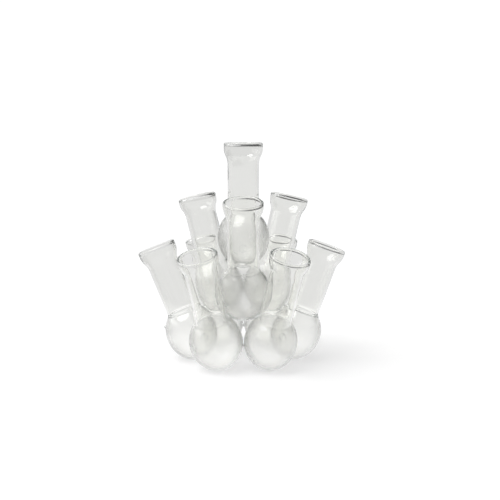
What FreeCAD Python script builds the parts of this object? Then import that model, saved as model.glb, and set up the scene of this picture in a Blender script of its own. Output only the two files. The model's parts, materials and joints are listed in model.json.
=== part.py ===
import FreeCAD, Part
import math
import os

from FreeCAD import Vector

# A free-standing cluster vase of clear blown glass, in millimetres.
# Ten equal round-bottomed vessels are fused where they touch: a ring of six that
# lean outwards, three above it in every second gap, and one upright on top.
# Each vessel is made as two pieces of glass, its bulb and its neck, which meet on
# the ring where the straight neck starts.
# +Z is up, the floor is z = 0 and the cluster's axis is the Z axis.
# Azimuth 0 is the front, -Y, and azimuth 90 is +X.

# One vessel, measured along its own axis from the centre of its bulb
BULB_R = 25.8  # bulb, across the axis
BULB_HALF = 29.0  # bulb, along the axis: slightly egg-shaped
NECK_R = 15.7  # outside of the straight neck
WALL = 1.8
SHOULDER_R = 8.0  # hollow curve where the bulb runs into the neck
MOUTH_R = 19.4  # outside of the flared mouth
LIP_R = 1.3  # half the thickness of the melted lip
MOUTH_Z = 92.3  # top of the lip of the shorter vessels
FLARE_LENGTH = 16.0  # length of the neck that widens to the mouth
COLLAR_LENGTH = 3.5  # upright part of the shorter vessels' mouths outside, lip included

FLARE_TOP_Z = MOUTH_Z - COLLAR_LENGTH
FLARE_LOW_Z = FLARE_TOP_Z - FLARE_LENGTH

# The cluster
BASE_RING_R = 52.4  # circle through the base bulbs' centres
MIDDLE_RING_R = 30.4
MIDDLE_Z = 74.0  # height of the middle bulbs' centres
TOP_Z = 124.1  # height of the top bulb's centre
FOOT_CUT = 0.2  # depth of the flat spot each base bulb stands on

# Fused joints
JOINT_R = 4.0
JOINT_REACH = 3.0  # how far a joint's blank reaches to each side of its middle

# The pip left on the left bulb's outer side where a gather of glass was nipped off
PIP_R = 1.7
PIP_Z = 14.0  # along the vessel's axis, above the bulb's centre
PIP_SUNK = 0.2  # depth of the pip's centre inside the bulb's outside

# Vessels of a ring: name, seat azimuth, azimuth the neck leans towards, lean and how
# much longer its collar is. The cluster is made by hand, so no two necks are alike.
BASE_VESSELS = (
    ("base_front_left", -30.0, -32.3, 19.8, 0.0),
    ("base_front_right", 30.0, 32.2, 20.5, 0.0),
    ("base_right", 90.0, 91.0, 20.0, 0.8),
    ("base_back_right", 150.0, 155.0, 20.3, 0.0),
    ("base_back_left", -150.0, -147.6, 20.9, 0.0),
    ("base_left", -90.0, -89.6, 22.0, 1.3),
)
MIDDLE_VESSELS = (
    ("middle_front", 0.0, -0.6, 14.5, 0.0),
    ("middle_back_right", 120.0, 119.2, 15.0, 0.6),
    ("middle_back_left", -120.0, -119.4, 15.3, 0.6),
)
TOP_VESSEL = "top"
TOP_LONGER = 1.7

# Fused pairs: joint name, the two vessels
BASE_JOINTS = (
    ("joint_base_front", "base_front_left", "base_front_right"),
    ("joint_base_right_front", "base_front_right", "base_right"),
    ("joint_base_right_back", "base_right", "base_back_right"),
    ("joint_base_back", "base_back_right", "base_back_left"),
    ("joint_base_left_back", "base_back_left", "base_left"),
    ("joint_base_left_front", "base_left", "base_front_left"),
)
MIDDLE_JOINTS = (
    ("joint_middle_right", "middle_front", "middle_back_right"),
    ("joint_middle_back", "middle_back_right", "middle_back_left"),
    ("joint_middle_left", "middle_back_left", "middle_front"),
)
SEAT_JOINTS = (
    ("joint_seat_front_left", "middle_front", "base_front_left"),
    ("joint_seat_front_right", "middle_front", "base_front_right"),
    ("joint_seat_right", "middle_back_right", "base_right"),
    ("joint_seat_back_right", "middle_back_right", "base_back_right"),
    ("joint_seat_back_left", "middle_back_left", "base_back_left"),
    ("joint_seat_left", "middle_back_left", "base_left"),
)
NECK_JOINTS = (
    ("joint_top_front", TOP_VESSEL, "middle_front"),
    ("joint_top_back_right", TOP_VESSEL, "middle_back_right"),
    ("joint_top_back_left", TOP_VESSEL, "middle_back_left"),
)


def at(r, z):
    """A point of a vessel's outline: r out from its axis and z along it."""
    return Vector(r, 0, z)


def line(start, end):
    return Part.LineSegment(start, end).toShape()


def arc_about(centre, radius, start, end, middle_angle):
    """An arc from start to end that passes through middle_angle about its centre."""
    middle = centre + Vector(radius * math.cos(middle_angle), 0, radius * math.sin(middle_angle))
    return Part.Arc(start, middle, end).toShape()


def bulb_arc(radius, half, z_top):
    """The bulb's outline, from height z_top round its widest part to its lowest point."""
    ellipse = Part.Ellipse(at(0, half), at(radius, 0), at(0, 0))
    return Part.ArcOfEllipse(ellipse, math.acos(z_top / half), math.pi).toShape()


def shoulder(radius, half, neck_r, curve_r):
    """Where a hollow curve of radius curve_r touches the bulb and the neck.

    Returns the curve's centre, its lowest point on the bulb and its end on the neck.
    """
    low, high = 0.0, half
    for _ in range(60):
        z = (low + high) / 2
        r = radius * math.sqrt(1 - (z / half) ** 2)
        slope = Vector(r / radius**2, 0, z / half**2).normalize()
        centre = at(r, z) + slope * curve_r
        if centre.x > neck_r + curve_r:
            low = z
        else:
            high = z
    return centre, at(r, z), at(neck_r, centre.z)


def step_out(r_low, z_low, r_high, z_high):
    """Two equal arcs that carry a wall from one radius smoothly out to another."""
    half_r = (r_high - r_low) / 2
    half_z = (z_high - z_low) / 2
    radius = (half_r**2 + half_z**2) / (2 * half_r)
    turn = math.asin(half_z / radius)
    middle = at(r_low + half_r, z_low + half_z)
    lower = arc_about(at(r_low + radius, z_low), radius, at(r_low, z_low), middle, math.pi - turn / 2)
    upper = arc_about(at(r_high - radius, z_high), radius, middle, at(r_high, z_high), -turn / 2)
    return [lower, upper]


def bulb_side(bulb_r, bulb_half, neck_r, curve_r):
    """One side of the glass, from the bottom of the bulb up to the start of the neck."""
    curve, on_bulb, on_neck = shoulder(bulb_r, bulb_half, neck_r, curve_r)
    towards_bulb = math.atan2(on_bulb.z - curve.z, on_bulb.x - curve.x) + 2 * math.pi
    half_way = (towards_bulb + math.pi) / 2
    return [
        bulb_arc(bulb_r, bulb_half, on_bulb.z),
        arc_about(curve, curve_r, on_bulb, on_neck, half_way),
    ], on_neck


def neck_side(start, mouth_r, flare_top):
    """One side of the glass, from the start of the neck up to where it stops widening."""
    flare_low = at(start.x, FLARE_LOW_Z)
    return [line(start, flare_low), *step_out(start.x, FLARE_LOW_Z, mouth_r, flare_top)]


def outer_bulb():
    """The outside of the bulb, and the point where the neck's outside meets it."""
    return bulb_side(BULB_R, BULB_HALF, NECK_R, SHOULDER_R)


def inner_bulb():
    return bulb_side(BULB_R - WALL, BULB_HALF - WALL, NECK_R - WALL, SHOULDER_R + WALL)


def outer_neck(lip_z):
    """The outside of the neck, up to where the rounded lip starts."""
    _, start = outer_bulb()
    collar = line(at(MOUTH_R, FLARE_TOP_Z), at(MOUTH_R, lip_z))
    return [*neck_side(start, MOUTH_R, FLARE_TOP_Z), collar]


def turned(edges):
    """The solid that a closed outline sweeps when it turns round the Z axis."""
    wire = Part.Wire(Part.__sortEdges__(edges))
    return Part.Face(wire).revolve(Vector(0, 0, 0), Vector(0, 0, 1), 360)


def glass_bulb():
    """The hollow bulb, open at the top where the neck starts."""
    outer, outer_start = outer_bulb()
    inner, inner_start = inner_bulb()
    bottom = line(at(0, -BULB_HALF), at(0, WALL - BULB_HALF))
    return turned([*outer, line(outer_start, inner_start), *inner, bottom])


def glass_neck(longer):
    """The neck and its flared mouth, with one rounded lip joining the two sides.

    The inside, unlike the outside, widens all the way up to the lip.
    """
    lip_z = MOUTH_Z + longer - LIP_R
    _, outer_start = outer_bulb()
    _, inner_start = inner_bulb()
    inner = neck_side(inner_start, MOUTH_R - 2 * LIP_R, lip_z)
    inner_mouth = at(MOUTH_R - 2 * LIP_R, lip_z)
    lip = arc_about(at(MOUTH_R - LIP_R, lip_z), LIP_R, at(MOUTH_R, lip_z), inner_mouth, math.pi / 2)
    return turned([*outer_neck(lip_z), lip, *inner, line(inner_start, outer_start)])


def full_vessel():
    """A whole vessel with nothing hollow, which joints and gaps are measured from."""
    bulb, _ = outer_bulb()
    lip_z = MOUTH_Z - LIP_R
    across = line(at(MOUTH_R, lip_z), at(0, lip_z))
    axis = line(at(0, lip_z), at(0, -BULB_HALF))
    return turned([*bulb, *outer_neck(lip_z), across, axis])


def seated(shape, ring_r, seat, centre_z, heading, lean):
    """A vessel leant from upright and set with its bulb's centre on its ring."""
    placed = shape.copy()
    placed.rotate(Vector(0, 0, 0), Vector(1, 0, 0), lean)
    placed.rotate(Vector(0, 0, 0), Vector(0, 0, 1), heading)
    angle = math.radians(seat)
    placed.translate(Vector(ring_r * math.sin(angle), -ring_r * math.cos(angle), centre_z))
    return placed


def standing_height(lean):
    """Height of a leaning bulb's centre above the lowest point of its outside."""
    angle = math.radians(lean)
    return math.hypot(BULB_HALF * math.cos(angle), BULB_R * math.sin(angle))


def cluster_of(make):
    """Every vessel in place, by name; make is given how much longer its collar is."""
    placed = {}
    for name, seat, heading, lean, longer in BASE_VESSELS:
        centre_z = standing_height(lean) - FOOT_CUT
        placed[name] = seated(make(longer), BASE_RING_R, seat, centre_z, heading, lean)
    for name, seat, heading, lean, longer in MIDDLE_VESSELS:
        placed[name] = seated(make(longer), MIDDLE_RING_R, seat, MIDDLE_Z, heading, lean)
    placed[TOP_VESSEL] = seated(make(TOP_LONGER), 0, 0, TOP_Z, 0, 0)
    return placed


def pip_in_place():
    _, seat, heading, lean, _ = BASE_VESSELS[-1]
    return seated(glass_pip(), BASE_RING_R, seat, standing_height(lean) - FOOT_CUT, heading, lean)


def with_foot(bulb):
    """A base bulb with a flat spot on the floor plane."""
    below = Part.makeBox(300, 300, 20, Vector(-150, -150, -20))
    return bulb.cut(below)


def glass_pip():
    """A small round drop of glass on the side of a vessel that it leans towards."""
    bulb_r = BULB_R * math.sqrt(1 - (PIP_Z / BULB_HALF) ** 2)
    drop = Part.makeSphere(PIP_R, Vector(0, PIP_SUNK - bulb_r, PIP_Z))
    return drop.cut(full_vessel())


def fused_joint(first, second):
    """The glass that bridges two vessels round their nearest points."""
    gap, points, _ = first.distToShape(second)
    start, end = points[0]
    middle = (start + end) / 2
    along = (end - start).normalize()
    blank = Part.makeCylinder(JOINT_R, 2 * JOINT_REACH, middle - along * JOINT_REACH, along)
    joint = blank.cut(first).cut(second)
    nearest = min(joint.Solids, key=lambda solid: solid.distToShape(Part.Vertex(middle))[0])
    return nearest, gap


def main():
    os.makedirs("parts", exist_ok=True)
    whole = full_vessel()
    full = cluster_of(lambda longer: whole)
    necks = cluster_of(glass_neck)
    hollow_bulb = glass_bulb()
    for name, bulb in cluster_of(lambda longer: hollow_bulb).items():
        if name.startswith("base"):
            bulb = with_foot(bulb)
        bulb.exportStep(f"parts/{name}_bulb.step")
        necks[name].exportStep(f"parts/{name}_neck.step")
    pip_in_place().exportStep("parts/pip_left.step")
    for name, first, second in BASE_JOINTS + MIDDLE_JOINTS + SEAT_JOINTS + NECK_JOINTS:
        joint, gap = fused_joint(full[first], full[second])
        joint.exportStep(f"parts/{name}.step")
        print(f"{name}: gap {gap:.2f} mm, volume {joint.Volume:.1f} mm3")


main()
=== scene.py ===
import json
import math
import random

import bpy
from mathutils import Matrix, Vector


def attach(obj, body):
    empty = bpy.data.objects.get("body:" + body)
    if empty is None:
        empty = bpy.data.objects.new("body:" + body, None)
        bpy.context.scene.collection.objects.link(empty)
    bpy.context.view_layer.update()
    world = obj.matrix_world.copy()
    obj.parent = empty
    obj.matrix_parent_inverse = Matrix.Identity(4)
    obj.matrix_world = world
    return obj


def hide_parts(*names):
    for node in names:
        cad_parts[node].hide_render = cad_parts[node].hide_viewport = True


# The looks of a clear blown-glass cluster vase, in metres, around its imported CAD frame.
# Each of the ten vessels is made here as one piece of glass, which stands for its two CAD
# nodes, the bulb and the neck. The melted joints and the small pip keep their CAD shape.

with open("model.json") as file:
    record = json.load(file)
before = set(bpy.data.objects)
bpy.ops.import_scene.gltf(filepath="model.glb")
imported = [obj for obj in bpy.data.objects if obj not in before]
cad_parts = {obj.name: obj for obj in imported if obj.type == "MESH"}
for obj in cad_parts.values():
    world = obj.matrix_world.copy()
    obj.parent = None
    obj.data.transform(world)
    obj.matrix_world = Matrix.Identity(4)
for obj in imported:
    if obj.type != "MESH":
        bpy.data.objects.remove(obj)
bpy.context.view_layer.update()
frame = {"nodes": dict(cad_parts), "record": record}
record = frame["record"]
mounts = {mount["name"]: mount for mount in record["mounts"]}
MM = 0.001

# ---------------------------------------------------------------- sizes, in millimetres
BULB_R = 25.8
BULB_HALF = 29.0
NECK_R = 15.7
WALL = 1.8
SHOULDER_R = 8.0
MOUTH_R = 19.4
LIP_R = 1.3
MOUTH_Z = 92.3
FLARE_LENGTH = 16.0
COLLAR_LENGTH = 3.5
FLARE_TOP_Z = MOUTH_Z - COLLAR_LENGTH
FLARE_LOW_Z = FLARE_TOP_Z - FLARE_LENGTH
# how much longer some vessels' collars are
LONGER = {
    "base_right": 0.8,
    "base_left": 1.3,
    "middle_back_right": 0.6,
    "middle_back_left": 0.6,
    "top": 1.7,
}

AROUND = 112  # points round a vessel
STEP = 0.8  # longest run along the outline between two rings
LIP_TURNS = 10
BEAD = 2.0  # how far down the inside the melted lip's bead swells
BULB_HAZE_LOW = 10.0  # the bulb's haze fades out between these heights
BULB_HAZE_HIGH = 22.0
SEAM_Z = 22.8  # the ring of thicker glass where the neck was drawn from the bulb
SEAM_HALF = 0.9
SEAM_OUT = 0.1
SEAM_IN = 1.3
# how strong the ring is: faint on most vessels
SEAM_FAINT = 0.22
SEAM_STRONG = {"base_left": 1.0, "base_right": 1.0, "base_back_left": 0.6, "base_back_right": 0.6}
FIRST_SEED = 100

BASE = ("front_left", "front_right", "right", "back_right", "back_left", "left")
MIDDLE = ("front", "back_right", "back_left")
VESSELS = [f"base_{place}" for place in BASE] + [f"middle_{place}" for place in MIDDLE] + ["top"]


# ---------------------------------------------------------------- outline of a vessel
def smooth(edge0, edge1, x):
    t = min(max((x - edge0) / (edge1 - edge0), 0.0), 1.0)
    return t * t * (3 - 2 * t)


def arc(centre, radius, start, end):
    """Points of an arc, its first left out, so that runs can be joined end to end."""
    count = max(3, math.ceil(abs(end - start) * radius / STEP))
    angles = [start + (end - start) * i / count for i in range(1, count + 1)]
    return [(centre[0] + radius * math.cos(a), centre[1] + radius * math.sin(a)) for a in angles]


def shoulder(bulb_r, bulb_half, neck_r, curve_r):
    """The hollow curve that touches the bulb and the neck: its centre and its height on the bulb."""
    low, high = 0.0, bulb_half
    for _ in range(50):
        z = (low + high) / 2
        r = bulb_r * math.sqrt(1 - (z / bulb_half) ** 2)
        slope = Vector((r / bulb_r**2, z / bulb_half**2)).normalized()
        if r + slope.x * curve_r > neck_r + curve_r:
            low = z
        else:
            high = z
    return (r + slope.x * curve_r, z + slope.y * curve_r), (r, z)


def bulb_run(bulb_r, bulb_half, z_top):
    """The bulb from its lowest point up to z_top."""
    last = math.asin(z_top / bulb_half)
    count = math.ceil((last + math.pi / 2) * bulb_half / STEP)
    turns = [-math.pi / 2 + (last + math.pi / 2) * i / count for i in range(1, count + 1)]
    return [(bulb_r * math.cos(t), bulb_half * math.sin(t)) for t in turns]


def flare_run(r_low, z_low, r_high, z_high):
    """Two equal arcs that carry the wall smoothly outwards."""
    half_r, half_z = (r_high - r_low) / 2, (z_high - z_low) / 2
    radius = (half_r**2 + half_z**2) / (2 * half_r)
    turn = math.asin(half_z / radius)
    lower = arc((r_low + radius, z_low), radius, math.pi, math.pi - turn)
    return lower + arc((r_high - radius, z_high), radius, -turn, 0)


def wall_run(bulb_r, bulb_half, neck_r, curve_r, mouth_r, flare_top):
    """One side of the glass from just above its lowest point up to the lip."""
    centre, touch = shoulder(bulb_r, bulb_half, neck_r, curve_r)
    down = math.atan2(touch[1] - centre[1], touch[0] - centre[0]) + 2 * math.pi
    run = bulb_run(bulb_r, bulb_half, touch[1]) + arc(centre, curve_r, down, math.pi)
    straight = math.ceil((FLARE_LOW_Z - centre[1]) / (2.5 * STEP))
    for i in range(1, straight + 1):
        run.append((neck_r, centre[1] + (FLARE_LOW_Z - centre[1]) * i / straight))
    return run + flare_run(neck_r, FLARE_LOW_Z, mouth_r, flare_top)


def inner_run(lip_z):
    """The inside: an even wall up to the collar, then the inner half of the melted bead."""
    collar_r = MOUTH_R - WALL
    run = wall_run(BULB_R - WALL, BULB_HALF - WALL, NECK_R - WALL, SHOULDER_R + WALL, collar_r, FLARE_TOP_Z)
    bead_z = lip_z - BEAD
    run.append((collar_r, bead_z))
    swell = collar_r - (MOUTH_R - 2 * LIP_R)
    for i in range(1, 7):
        run.append((collar_r - swell * smooth(0, 1, i / 6), bead_z + BEAD * i / 6))
    return run


def vessel_outline(longer):
    """(r, z, side) from the lowest point of the outside, over the lip, to that of the inside."""
    lip_z = MOUTH_Z + longer - LIP_R
    outer = wall_run(BULB_R, BULB_HALF, NECK_R, SHOULDER_R, MOUTH_R, FLARE_TOP_Z)
    outer += [(MOUTH_R, FLARE_TOP_Z + (lip_z - FLARE_TOP_Z) * i / 4) for i in (1, 2, 3, 4)]
    turns = [math.pi * i / LIP_TURNS for i in range(1, LIP_TURNS)]
    lip = [(MOUTH_R - LIP_R + LIP_R * math.cos(t), lip_z + LIP_R * math.sin(t)) for t in turns]
    return [(r, z, 1.0) for r, z in outer] + [(r, z, 0.5) for r, z in lip] + [
        (r, z, 0.0) for r, z in reversed(inner_run(lip_z))
    ]


def bore_middle():
    """Height of the middle of the neck's straight inside, where its mount is."""
    centre, _ = shoulder(BULB_R - WALL, BULB_HALF - WALL, NECK_R - WALL, SHOULDER_R + WALL)
    return (centre[1] + FLARE_LOW_Z) / 2


# ---------------------------------------------------------------- hand-made unevenness
class Hand:
    """The small ways in which one blown vessel differs from a turned one, in millimetres."""

    def __init__(self, seed):
        rng = random.Random(seed)
        self.modes = [
            (n, rng.uniform(0, 2 * math.pi), rng.uniform(0.025, 0.075), rng.uniform(-0.02, 0.02), 0.10 / n)
            for n in (2, 3, 4, 5)
        ]
        self.wall = [
            (n, rng.uniform(0, 2 * math.pi), rng.uniform(0.03, 0.08), rng.uniform(0, 2 * math.pi), 0.24 / n)
            for n in (1, 2, 3, 5)
        ]
        self.lip = [(n, rng.uniform(0, 2 * math.pi), 0.12 / n) for n in (1, 2, 3)]
        self.bulge = [(n, rng.uniform(0, 2 * math.pi), 0.12) for n in (2, 3)]

    def outward(self, turn, z):
        """How far the whole wall moves out: up to about 0.3 mm, and nothing at the foot."""
        moved = sum(a * math.sin(n * turn + p + f * z + g * z) for n, p, f, g, a in self.modes)
        on_bulb = 1 - smooth(16, 34, z)
        moved += on_bulb * sum(a * math.sin(n * turn + p) for n, p, a in self.bulge)
        return (moved - 0.10) * smooth(-29, -20, z)

    def seam(self, turn, z):
        """The ring of thicker glass at the foot of the neck: how strong it is here, from 0 to 1."""
        strength = 0.85 + 0.15 * math.sin(turn + self.bulge[0][1])
        return strength * math.exp(-(((z - SEAM_Z) / SEAM_HALF) ** 2))

    def thinner(self, turn, z):
        """How far the inside alone moves out, which makes the wall thinner there."""
        return sum(a * math.sin(n * turn + p) * math.sin(f * z + q) for n, p, f, q, a in self.wall)

    def higher(self, turn, z):
        """How far the mouth rises or sinks; never above the turned shape."""
        near_lip = smooth(80, 91, z)
        return near_lip * (sum(a * math.sin(n * turn + p) for n, p, a in self.lip) - 0.22)


def mesh_object(name, corners, faces):
    mesh = bpy.data.meshes.new(name)
    mesh.from_pydata(corners, [], faces)
    mesh.update()
    piece = bpy.data.objects.new(name, mesh)
    bpy.context.scene.collection.objects.link(piece)
    return piece


def lathe(name, rings, bottom, top, around, place):
    """A closed mesh from rings of points between two poles, moved by the matrix place."""
    corners = [place @ Vector(bottom)]
    faces = []
    for ring in rings:
        corners += [place @ Vector(point) for point in ring]
    corners.append(place @ Vector(top))
    last = len(corners) - 1
    for i in range(around):
        j = (i + 1) % around
        faces.append((0, 1 + j, 1 + i))
        for k in range(len(rings) - 1):
            a, b = 1 + k * around, 1 + (k + 1) * around
            faces.append((a + i, a + j, b + j, b + i))
        a = 1 + (len(rings) - 1) * around
        faces.append((last, a + i, a + j))
    piece = mesh_object(name, corners, faces)
    piece.data.polygons.foreach_set("use_smooth", [True] * len(piece.data.polygons))
    return piece


def mark_bulb(piece, heights):
    """Write how much each corner belongs to the bulb, from 0 to 1, for the material to read."""
    marks = piece.data.attributes.new("bulb", "FLOAT", "POINT")
    marks.data.foreach_set("value", [1 - smooth(BULB_HAZE_LOW, BULB_HAZE_HIGH, z) for z in heights])


def turn_towards(axis):
    """The rotation that takes +Z to axis without twisting more than it must."""
    return Vector((0, 0, 1)).rotation_difference(Vector(axis)).to_matrix().to_4x4()


def vessel_place(name):
    """Where a vessel's bulb centre is and how it leans, read from its neck's bore."""
    bore = mounts[f"{name}_neck_bore"]
    axis = Vector(bore["axis"])
    centre = Vector(bore["pos_m"]) - axis * bore_middle() * MM
    return Matrix.Translation(centre) @ turn_towards(axis) @ Matrix.Diagonal((MM, MM, MM, 1))


def glass_vessel(name, seed):
    hand = Hand(seed)
    seam_strength = SEAM_STRONG.get(name, SEAM_FAINT)
    outline = vessel_outline(LONGER.get(name, 0.0))[:-1]
    rings = []
    for r, z, side in outline:
        ring = []
        for i in range(AROUND):
            turn = 2 * math.pi * i / AROUND
            near_axis = smooth(0, 9, r)
            out = hand.outward(turn, z) * near_axis
            out += (1 - side) * hand.thinner(turn, z) * near_axis
            out += (side * SEAM_OUT - (1 - side) * SEAM_IN) * hand.seam(turn, z) * seam_strength
            radius = r + out
            ring.append((radius * math.cos(turn), radius * math.sin(turn), z + hand.higher(turn, z)))
        rings.append(ring)
    place = vessel_place(name)
    vessel = lathe(name + "_vessel", rings, (0, 0, -BULB_HALF), (0, 0, WALL - BULB_HALF), AROUND, place)
    heights = [-BULB_HALF, *(z for _, z, _ in outline for _ in range(AROUND)), WALL - BULB_HALF]
    mark_bulb(vessel, heights)
    if name.startswith("base"):
        flatten_foot(vessel)
    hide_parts(f"{name}_bulb", f"{name}_neck")
    return vessel


def flatten_foot(vessel):
    """The spot that was pressed flat on the bench: nothing goes below the floor plane."""
    for vertex in vessel.data.vertices:
        if vertex.co.z < 0:
            vertex.co.z = 0


def finish_piece(piece, material):
    piece.data.materials.append(material)
    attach(piece, "root")
    return piece


# ---------------------------------------------------------------- materials
GLASS_IOR = 1.5
TINT_SCALE = 26.0
HAZE_SCALE = 60.0
RIPPLE_SCALE = 95.0
RIPPLE_DRAW = (1.0, 1.0, 0.18)  # drawn out along Z
RIPPLE_DEPTH = 0.0006
# the haze, as (how far along the noise, roughness)
BLOWN_HAZE = ((0.35, 0.025), (0.70, 0.045))
MELTED_HAZE = ((0.45, 0.0), (0.75, 0.05))
BULB_HAZE = 5.5  # how many times hazier again the bulbs are
# tint where the noise is high, tint where it is low, colour and density of thick glass, ripple
VESSEL_LOOK = ((1.0, 1.0, 0.990), (0.997, 0.999, 0.985), (0.72, 0.80, 0.76), 3.5, 0.30)
JOINT_LOOK = ((0.99, 0.995, 0.99), (0.98, 0.985, 0.98), (0.60, 0.90, 0.84), 5.0, 0.15)


def new_material(name):
    material = bpy.data.materials.new(name)
    material.use_nodes = True
    nodes, links = material.node_tree.nodes, material.node_tree.links
    shader = nodes["Principled BSDF"]
    return material, nodes, links, shader


def node(nodes, kind, inputs=None, **settings):
    made = nodes.new(kind)
    for key, value in settings.items():
        setattr(made, key, value)
    for key, value in (inputs or {}).items():
        made.inputs[key].default_value = value
    return made


def ramp(nodes, stops):
    made = nodes.new("ShaderNodeValToRGB")
    elements = made.color_ramp.elements
    while len(elements) > 1:
        elements.remove(elements[-1])
    elements[0].position, elements[0].color = stops[0]
    for position, colour in stops[1:]:
        elements.new(position).color = colour
    return made


def glass_material(name, tint, tint_low, absorb, density, ripple, rough_stops):
    material, nodes, links, shader = new_material(name)
    shader.inputs["Transmission Weight"].default_value = 1.0
    shader.inputs["IOR"].default_value = GLASS_IOR
    shader.inputs["Specular IOR Level"].default_value = 0.5
    where = node(nodes, "ShaderNodeTexCoord")
    # faint change of tint from one part of the glass to the next
    cloud = node(nodes, "ShaderNodeTexNoise", {"Scale": TINT_SCALE, "Detail": 2.0})
    links.new(where.outputs["Object"], cloud.inputs["Vector"])
    colour = ramp(nodes, [(0.35, (*tint_low, 1)), (0.65, (*tint, 1))])
    links.new(cloud.outputs["Fac"], colour.inputs["Fac"])
    links.new(colour.outputs["Color"], shader.inputs["Base Color"])
    # fire-polished, with a breath of haze here and there, and more of it on the bulbs
    haze = node(nodes, "ShaderNodeTexNoise", {"Scale": HAZE_SCALE, "Detail": 3.0})
    links.new(where.outputs["Object"], haze.inputs["Vector"])
    rough = ramp(nodes, [(at, (value, value, value, 1)) for at, value in rough_stops])
    links.new(haze.outputs["Fac"], rough.inputs["Fac"])
    bulb = node(nodes, "ShaderNodeAttribute", attribute_name="bulb")
    blown = node(nodes, "ShaderNodeMath", {1: BULB_HAZE, 2: 1.0}, operation="MULTIPLY_ADD")
    links.new(bulb.outputs["Fac"], blown.inputs[0])
    hazier = node(nodes, "ShaderNodeMath", operation="MULTIPLY")
    links.new(rough.outputs["Color"], hazier.inputs[0])
    links.new(blown.outputs["Value"], hazier.inputs[1])
    links.new(hazier.outputs["Value"], shader.inputs["Roughness"])
    # slow ripples of hand-worked glass
    stretch = node(nodes, "ShaderNodeMapping", {"Scale": RIPPLE_DRAW})
    links.new(where.outputs["Object"], stretch.inputs["Vector"])
    ripples = node(nodes, "ShaderNodeTexNoise", {"Scale": RIPPLE_SCALE, "Detail": 1.5})
    links.new(stretch.outputs["Vector"], ripples.inputs["Vector"])
    bump = node(nodes, "ShaderNodeBump", {"Strength": ripple, "Distance": RIPPLE_DEPTH})
    links.new(ripples.outputs["Fac"], bump.inputs["Height"])
    links.new(bump.outputs["Normal"], shader.inputs["Normal"])
    volume = node(nodes, "ShaderNodeVolumeAbsorption", {"Color": (*absorb, 1), "Density": density})
    links.new(volume.outputs["Volume"], nodes["Material Output"].inputs["Volume"])
    return material


def floor_material():
    material, nodes, links, shader = new_material("studio_floor")
    where = node(nodes, "ShaderNodeTexCoord")
    grain = node(nodes, "ShaderNodeTexNoise", {"Scale": 3.0, "Detail": 3.0})
    links.new(where.outputs["Object"], grain.inputs["Vector"])
    colour = ramp(nodes, [(0.3, (0.98, 0.98, 0.98, 1)), (0.7, (1.0, 1.0, 1.0, 1))])
    links.new(grain.outputs["Fac"], colour.inputs["Fac"])
    ray = node(nodes, "ShaderNodeLightPath")
    share = node(nodes, "ShaderNodeMapRange", {"To Min": FLOOR_IN_GLASS, "To Max": FLOOR_SEEN})
    links.new(ray.outputs["Is Camera Ray"], share.inputs["Value"])
    seen = node(nodes, "ShaderNodeVectorMath", operation="SCALE")
    links.new(colour.outputs["Color"], seen.inputs[0])
    links.new(share.outputs["Result"], seen.inputs["Scale"])
    links.new(seen.outputs["Vector"], shader.inputs["Base Color"])
    # painted glow: the floor gives off light of its own, though it is no lamp
    shader.inputs["Emission Color"].default_value = (1, 1, 1, 1)
    # painted pool of light: as the glass sees it (every ray but the camera's), the floor glows brighter
    # round the vase's foot than further off
    away = node(nodes, "ShaderNodeVectorMath", operation="LENGTH")
    links.new(where.outputs["Object"], away.inputs[0])
    fade = {"From Min": NEAR_FOOT, "From Max": FAR_OFF, "To Min": PAINTED_GLOW_NEAR, "To Max": PAINTED_GLOW_FAR}
    in_glass = node(nodes, "ShaderNodeMapRange", fade)
    links.new(away.outputs["Value"], in_glass.inputs["Value"])
    glow = node(nodes, "ShaderNodeMapRange", {"To Max": FLOOR_PAINTED_GLOW})
    links.new(in_glass.outputs["Result"], glow.inputs["To Min"])
    links.new(ray.outputs["Is Camera Ray"], glow.inputs["Value"])
    links.new(glow.outputs["Result"], shader.inputs["Emission Strength"])
    shader.inputs["Roughness"].default_value = 0.9
    shader.inputs["Specular IOR Level"].default_value = 0.1
    return material


vessel_glass = glass_material("vessel_glass", *VESSEL_LOOK, BLOWN_HAZE)
joint_glass = glass_material("joint_glass", *JOINT_LOOK, MELTED_HAZE)

for number, name in enumerate(VESSELS):
    finish_piece(glass_vessel(name, FIRST_SEED + number), vessel_glass)

# the melted joints and the pip are carried over from the CAD
for name, cad in frame["nodes"].items():
    if name.startswith("joint") or name.startswith("pip"):
        cad.data.materials.clear()
        cad.data.materials.append(joint_glass)

# ---------------------------------------------------------------- studio
FLOOR_R = 6.0
FLOOR_SIDES = 96
FLOOR_Z = -0.0001
WORLD_SEEN = 1.05  # the backdrop, straight from the camera
WORLD_EVEN = 0.71  # the studio all round
WORLD_SOFT = 1.4  # what the soft light on the left adds
WORLD_GAP = 0.97  # how much of the light the dark gap takes away
FLOOR_PAINTED_GLOW = 0.62  # painted glow: light the floor itself gives off, straight from the camera, though it is no lamp
PAINTED_GLOW_NEAR = 0.93  # and the same painted glow as the glass sees it, close to the foot
PAINTED_GLOW_FAR = 0.62  # and far off
NEAR_FOOT, FAR_OFF = 0.08, 0.30  # metres from the middle of the vase
FLOOR_SEEN = 0.40  # its reflectance straight from the camera
FLOOR_IN_GLASS = 0.12  # and as the glass sees it
KEY_POWER = 1.9
KEY_SPREAD = 50  # degrees
KEY_HEADING = (0.7, 0.25, -1.3)
floor_turns = [2 * math.pi * i / FLOOR_SIDES for i in range(FLOOR_SIDES)]
floor_points = [(FLOOR_R * math.cos(t), FLOOR_R * math.sin(t), FLOOR_Z) for t in floor_turns]
floor = mesh_object("studio_floor", floor_points, [tuple(range(FLOOR_SIDES))])
floor.data.materials.append(floor_material())

world = bpy.data.worlds.new("studio_world")
bpy.context.scene.world = world
world.use_nodes = True
world_nodes, world_links = world.node_tree.nodes, world.node_tree.links


def world_node(operation, first, second):
    made = node(world_nodes, "ShaderNodeMath", operation=operation)
    for socket, value in zip(made.inputs, (first, second)):
        if isinstance(value, (int, float)):
            socket.default_value = value
        else:
            world_links.new(value, socket)
    return made.outputs["Value"]


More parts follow.
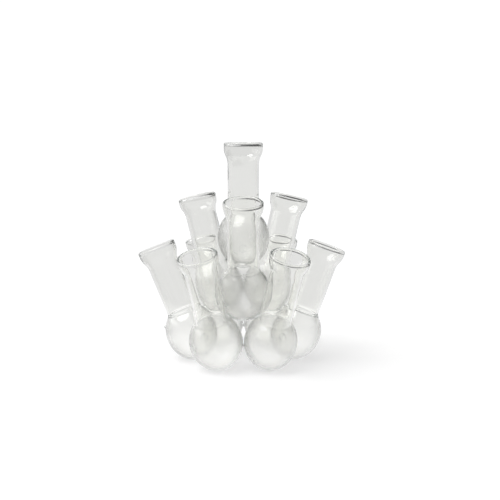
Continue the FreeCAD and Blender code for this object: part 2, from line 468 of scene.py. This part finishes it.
def world_step(value, low, high):
    """Rises smoothly from 0 to 1 while value goes from low to high."""
    made = node(world_nodes, "ShaderNodeMapRange", {"From Min": low, "From Max": high})
    made.interpolation_type = "SMOOTHSTEP"
    world_links.new(value, made.inputs["Value"])
    return made.outputs["Result"]


def world_patch(*sides):
    """A patch of the studio, as the product of its sides, each (value, low, high)."""
    patch = world_step(*sides[0])
    for side in sides[1:]:
        patch = world_node("MULTIPLY", patch, world_step(*side))
    return patch


direction = node(world_nodes, "ShaderNodeTexCoord")
split = node(world_nodes, "ShaderNodeSeparateXYZ")
world_links.new(direction.outputs["Generated"], split.inputs["Vector"])
to_right, to_back, upwards = (split.outputs[axis] for axis in "XYZ")
to_left = world_node("MULTIPLY", to_right, -1.0)
downwards = world_node("MULTIPLY", upwards, -1.0)
# the dark gap above the backdrop on the right, and the large soft light on the left
gap = world_patch(
    (upwards, 0.085, 0.135), (downwards, -0.93, -0.80), (to_right, -0.12, 0.05), (to_back, -0.1, 0.2)
)
soft = world_patch((to_left, 0.80, 0.86), (upwards, 0.16, 0.22), (downwards, -0.46, -0.38))
light = world_node("ADD", WORLD_EVEN, world_node("MULTIPLY", soft, WORLD_SOFT))
light = world_node("SUBTRACT", light, world_node("MULTIPLY", gap, WORLD_EVEN * WORLD_GAP))
# the backdrop is printed lighter than the glass sees it
ray = node(world_nodes, "ShaderNodeLightPath")
seen = node(world_nodes, "ShaderNodeMix", data_type="FLOAT")
world_links.new(ray.outputs["Is Camera Ray"], seen.inputs["Factor"])
world_links.new(light, seen.inputs["A"])
seen.inputs["B"].default_value = WORLD_SEEN
world_links.new(seen.outputs["Result"], world_nodes["Background"].inputs["Color"])

key = bpy.data.lights.new("key_light", "SUN")
key.energy = KEY_POWER
key.angle = math.radians(KEY_SPREAD)
key_object = bpy.data.objects.new("key_light", key)
bpy.context.scene.collection.objects.link(key_object)
key_object.rotation_euler = Vector(KEY_HEADING).to_track_quat("-Z", "Y").to_euler()

# ---------------------------------------------------------------- camera
FOCAL_PX = 887.36
IMAGE_PX = 500
SENSOR = 36.0
CAMERA_PLACE = (0.0, -0.8804, 0.2259)
CAMERA_YAW, CAMERA_PITCH = 0.4287, -7.4245  # degrees
camera_data = bpy.data.cameras.new("camera")
camera_data.sensor_width = SENSOR
camera_data.lens = FOCAL_PX / IMAGE_PX * SENSOR
camera = bpy.data.objects.new("camera", camera_data)
bpy.context.scene.collection.objects.link(camera)
camera.location = CAMERA_PLACE
yaw, pitch = math.radians(CAMERA_YAW), math.radians(CAMERA_PITCH)
look = Vector((math.sin(yaw) * math.cos(pitch), math.cos(yaw) * math.cos(pitch), math.sin(pitch)))
camera.rotation_euler = look.to_track_quat("-Z", "Y").to_euler()
bpy.context.scene.camera = camera

scene = bpy.context.scene
scene.view_settings.view_transform = "Standard"
scene.view_settings.look = "None"
# light runs a long way round inside the thick lips
scene.cycles.max_bounces = 64
scene.cycles.transmission_bounces = 64
scene.cycles.glossy_bounces = 64
